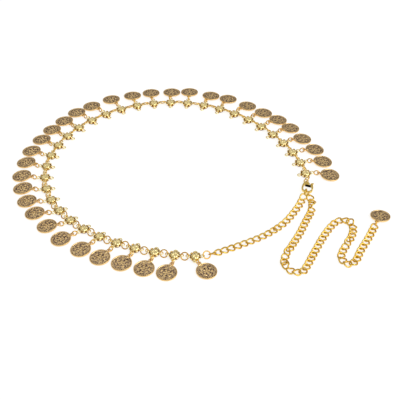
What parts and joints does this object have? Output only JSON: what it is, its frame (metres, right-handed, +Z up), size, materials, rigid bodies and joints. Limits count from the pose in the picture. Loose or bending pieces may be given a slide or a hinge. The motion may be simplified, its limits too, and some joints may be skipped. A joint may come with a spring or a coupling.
{
  "type": "waist chain",
  "caption": "Waist chain of domed flower links with hanging coin charms, closed in a ring by a lobster clasp, with a loose curb-chain tail.",
  "frame": {"origin": "on the resting plane, under the middle of the whole piece as it lies", "axes": "+Z up from the surface; +X runs along the length, from the closed ring towards the loose tail; +Y away from the viewer"},
  "size_m": [0.3402, 0.2915, 0.0059],
  "materials": {
    "flower_gold": "bright warm gold plating on the cast flower links and their jump rings",
    "chain_gold": "polished yellow gold plating on round wire",
    "clasp_gold": "polished yellow gold plating on the cast clasp",
    "antique_coin": "antiqued gold: pale gold on the raised ornament and rim, dark bronze in the hollows"
  },
  "bodies": {
    "chain": {"flowers_01": "flower_gold", "flowers_02": "flower_gold", "flowers_03": "flower_gold", "flowers_04": "flower_gold", "flowers_05": "flower_gold", "flowers_06": "flower_gold", "flowers_07": "flower_gold", "flowers_08": "flower_gold", "flowers_09": "flower_gold", "flowers_10": "flower_gold", "flowers_11": "flower_gold", "flowers_12": "flower_gold", "flowers_13": "flower_gold", "flowers_14": "flower_gold", "flowers_15": "flower_gold", "flowers_16": "flower_gold", "flowers_17": "flower_gold", "chain_from_flowers": "chain_gold", "chain_at_clasp": "chain_gold", "tail_1": "chain_gold", "tail_2": "chain_gold", "tail_3": "chain_gold", "tail_4": "chain_gold", "clasp_hook": "clasp_gold", "clasp_lever": "clasp_gold"},
    "coin_01": {"coin_01": "antique_coin"},
    "coin_02": {"coin_02": "antique_coin"},
    "coin_03": {"coin_03": "antique_coin"},
    "coin_04": {"coin_04": "antique_coin"},
    "coin_05": {"coin_05": "antique_coin"},
    "coin_06": {"coin_06": "antique_coin"},
    "coin_07": {"coin_07": "antique_coin"},
    "coin_08": {"coin_08": "antique_coin"},
    "coin_09": {"coin_09": "antique_coin"},
    "coin_10": {"coin_10": "antique_coin"},
    "coin_11": {"coin_11": "antique_coin"},
    "coin_12": {"coin_12": "antique_coin"},
    "coin_13": {"coin_13": "antique_coin"},
    "coin_14": {"coin_14": "antique_coin"},
    "coin_15": {"coin_15": "antique_coin"},
    "coin_16": {"coin_16": "antique_coin"},
    "coin_17": {"coin_17": "antique_coin"},
    "coin_18": {"coin_18": "antique_coin"},
    "coin_19": {"coin_19": "antique_coin"},
    "coin_20": {"coin_20": "antique_coin"},
    "coin_21": {"coin_21": "antique_coin"},
    "coin_22": {"coin_22": "antique_coin"},
    "coin_23": {"coin_23": "antique_coin"},
    "coin_24": {"coin_24": "antique_coin"},
    "coin_25": {"coin_25": "antique_coin"},
    "coin_26": {"coin_26": "antique_coin"},
    "coin_27": {"coin_27": "antique_coin"},
    "coin_28": {"coin_28": "antique_coin"},
    "coin_29": {"coin_29": "antique_coin"},
    "coin_30": {"coin_30": "antique_coin"},
    "coin_31": {"coin_31": "antique_coin"},
    "coin_32": {"coin_32": "antique_coin"},
    "coin_33": {"coin_33": "antique_coin"},
    "coin_34": {"coin_34": "antique_coin"},
    "coin_tail": {"coin_tail": "antique_coin"}
  },
  "joints": [
    {"name": "coin_01_swing", "type": "hinge", "parent": "chain", "child": "coin_01", "pos_m": [0.11136, -0.00373, 0.00283], "axis": [-0.1447, -0.9895, 0], "range_deg": [0, 90]},
    {"name": "coin_02_swing", "type": "hinge", "parent": "chain", "child": "coin_02", "pos_m": [0.10673, 0.01508, 0.00283], "axis": [0.0248, -0.9997, 0], "range_deg": [0, 90]},
    {"name": "coin_03_swing", "type": "hinge", "parent": "chain", "child": "coin_03", "pos_m": [0.10123, 0.03225, 0.00283], "axis": [0.1959, -0.9806, 0], "range_deg": [0, 90]},
    {"name": "coin_04_swing", "type": "hinge", "parent": "chain", "child": "coin_04", "pos_m": [0.09102, 0.04925, 0.00283], "axis": [0.2671, -0.9637, 0], "range_deg": [0, 90]},
    {"name": "coin_05_swing", "type": "hinge", "parent": "chain", "child": "coin_05", "pos_m": [0.08201, 0.06489, 0.00283], "axis": [0.4905, -0.8714, 0], "range_deg": [0, 90]},
    {"name": "coin_06_swing", "type": "hinge", "parent": "chain", "child": "coin_06", "pos_m": [0.07096, 0.07897, 0.00283], "axis": [0.5214, -0.8533, 0], "range_deg": [0, 90]},
    {"name": "coin_07_swing", "type": "hinge", "parent": "chain", "child": "coin_07", "pos_m": [0.05696, 0.0915, 0.00283], "axis": [0.5157, -0.8568, 0], "range_deg": [0, 90]},
    {"name": "coin_08_swing", "type": "hinge", "parent": "chain", "child": "coin_08", "pos_m": [0.04248, 0.10284, 0.00283], "axis": [0.6352, -0.7723, 0], "range_deg": [0, 90]},
    {"name": "coin_09_swing", "type": "hinge", "parent": "chain", "child": "coin_09", "pos_m": [0.02662, 0.11299, 0.00283], "axis": [0.8795, -0.4759, 0], "range_deg": [0, 90]},
    {"name": "coin_10_swing", "type": "hinge", "parent": "chain", "child": "coin_10", "pos_m": [0.00909, 0.11904, 0.00283], "axis": [0.8854, -0.4648, 0], "range_deg": [0, 90]},
    {"name": "coin_11_swing", "type": "hinge", "parent": "chain", "child": "coin_11", "pos_m": [-0.00832, 0.12468, 0.00283], "axis": [0.998, -0.0631, 0], "range_deg": [0, 90]},
    {"name": "coin_12_swing", "type": "hinge", "parent": "chain", "child": "coin_12", "pos_m": [-0.02765, 0.1243, 0.00283], "axis": [0.9916, -0.1292, 0], "range_deg": [0, 90]},
    {"name": "coin_13_swing", "type": "hinge", "parent": "chain", "child": "coin_13", "pos_m": [-0.04634, 0.1229, 0.00283], "axis": [0.9951, 0.0991, 0], "range_deg": [0, 90]},
    {"name": "coin_14_swing", "type": "hinge", "parent": "chain", "child": "coin_14", "pos_m": [-0.06422, 0.11809, 0.00283], "axis": [0.9796, 0.2009, 0], "range_deg": [0, 90]},
    {"name": "coin_15_swing", "type": "hinge", "parent": "chain", "child": "coin_15", "pos_m": [-0.08151, 0.11246, 0.00283], "axis": [0.8459, 0.5333, 0], "range_deg": [0, 90]},
    {"name": "coin_16_swing", "type": "hinge", "parent": "chain", "child": "coin_16", "pos_m": [-0.0979, 0.10222, 0.00283], "axis": [0.6609, 0.7505, 0], "range_deg": [0, 90]},
    {"name": "coin_17_swing", "type": "hinge", "parent": "chain", "child": "coin_17", "pos_m": [-0.11191, 0.09054, 0.00283], "axis": [0.6441, 0.765, 0], "range_deg": [0, 90]},
    {"name": "coin_18_swing", "type": "hinge", "parent": "chain", "child": "coin_18", "pos_m": [-0.12317, 0.07491, 0.00283], "axis": [0.6798, 0.7334, 0], "range_deg": [0, 90]},
    {"name": "coin_19_swing", "type": "hinge", "parent": "chain", "child": "coin_19", "pos_m": [-0.13324, 0.05973, 0.00283], "axis": [0.6614, 0.75, 0], "range_deg": [0, 90]},
    {"name": "coin_20_swing", "type": "hinge", "parent": "chain", "child": "coin_20", "pos_m": [-0.14097, 0.04319, 0.00283], "axis": [0.6391, 0.7691, 0], "range_deg": [0, 90]},
    {"name": "coin_21_swing", "type": "hinge", "parent": "chain", "child": "coin_21", "pos_m": [-0.14696, 0.02621, 0.00283], "axis": [0.4957, 0.8685, 0], "range_deg": [0, 90]},
    {"name": "coin_22_swing", "type": "hinge", "parent": "chain", "child": "coin_22", "pos_m": [-0.14923, 0.00801, 0.00283], "axis": [0.4754, 0.8798, 0], "range_deg": [0, 90]},
    {"name": "coin_23_swing", "type": "hinge", "parent": "chain", "child": "coin_23", "pos_m": [-0.14924, -0.01003, 0.00283], "axis": [0.2556, 0.9668, 0], "range_deg": [0, 90]},
    {"name": "coin_24_swing", "type": "hinge", "parent": "chain", "child": "coin_24", "pos_m": [-0.14547, -0.0281, 0.00283], "axis": [0.2104, 0.9776, 0], "range_deg": [0, 90]},
    {"name": "coin_25_swing", "type": "hinge", "parent": "chain", "child": "coin_25", "pos_m": [-0.13879, -0.04548, 0.00283], "axis": [0.115, 0.9934, 0], "range_deg": [0, 90]},
    {"name": "coin_26_swing", "type": "hinge", "parent": "chain", "child": "coin_26", "pos_m": [-0.12942, -0.06141, 0.00283], "axis": [0.0426, 0.9991, 0], "range_deg": [0, 90]},
    {"name": "coin_27_swing", "type": "hinge", "parent": "chain", "child": "coin_27", "pos_m": [-0.11664, -0.0768, 0.00283], "axis": [-0.1233, 0.9924, 0], "range_deg": [0, 90]},
    {"name": "coin_28_swing", "type": "hinge", "parent": "chain", "child": "coin_28", "pos_m": [-0.10389, -0.08948, 0.00283], "axis": [-0.4501, 0.893, 0], "range_deg": [0, 90]},
    {"name": "coin_29_swing", "type": "hinge", "parent": "chain", "child": "coin_29", "pos_m": [-0.08716, -0.10057, 0.00283], "axis": [-0.6354, 0.7722, 0], "range_deg": [0, 90]},
    {"name": "coin_30_swing", "type": "hinge", "parent": "chain", "child": "coin_30", "pos_m": [-0.07132, -0.10937, 0.00283], "axis": [-0.7347, 0.6784, 0], "range_deg": [0, 90]},
    {"name": "coin_31_swing", "type": "hinge", "parent": "chain", "child": "coin_31", "pos_m": [-0.05363, -0.11575, 0.00283], "axis": [-0.7845, 0.6202, 0], "range_deg": [0, 90]},
    {"name": "coin_32_swing", "type": "hinge", "parent": "chain", "child": "coin_32", "pos_m": [-0.03625, -0.12117, 0.00283], "axis": [-0.8678, 0.4969, 0], "range_deg": [0, 90]},
    {"name": "coin_33_swing", "type": "hinge", "parent": "chain", "child": "coin_33", "pos_m": [-0.01882, -0.12552, 0.00283], "axis": [-0.9164, 0.4002, 0], "range_deg": [0, 90]},
    {"name": "coin_34_swing", "type": "hinge", "parent": "chain", "child": "coin_34", "pos_m": [0.00139, -0.12503, 0.00283], "axis": [-0.803, -0.596, 0], "range_deg": [0, 90]},
    {"name": "coin_tail_swing", "type": "hinge", "parent": "chain", "child": "coin_tail", "pos_m": [0.15599, -0.07578, 0.00283], "axis": [0.8998, -0.4362, 0], "range_deg": [0, 90]}
  ]
}
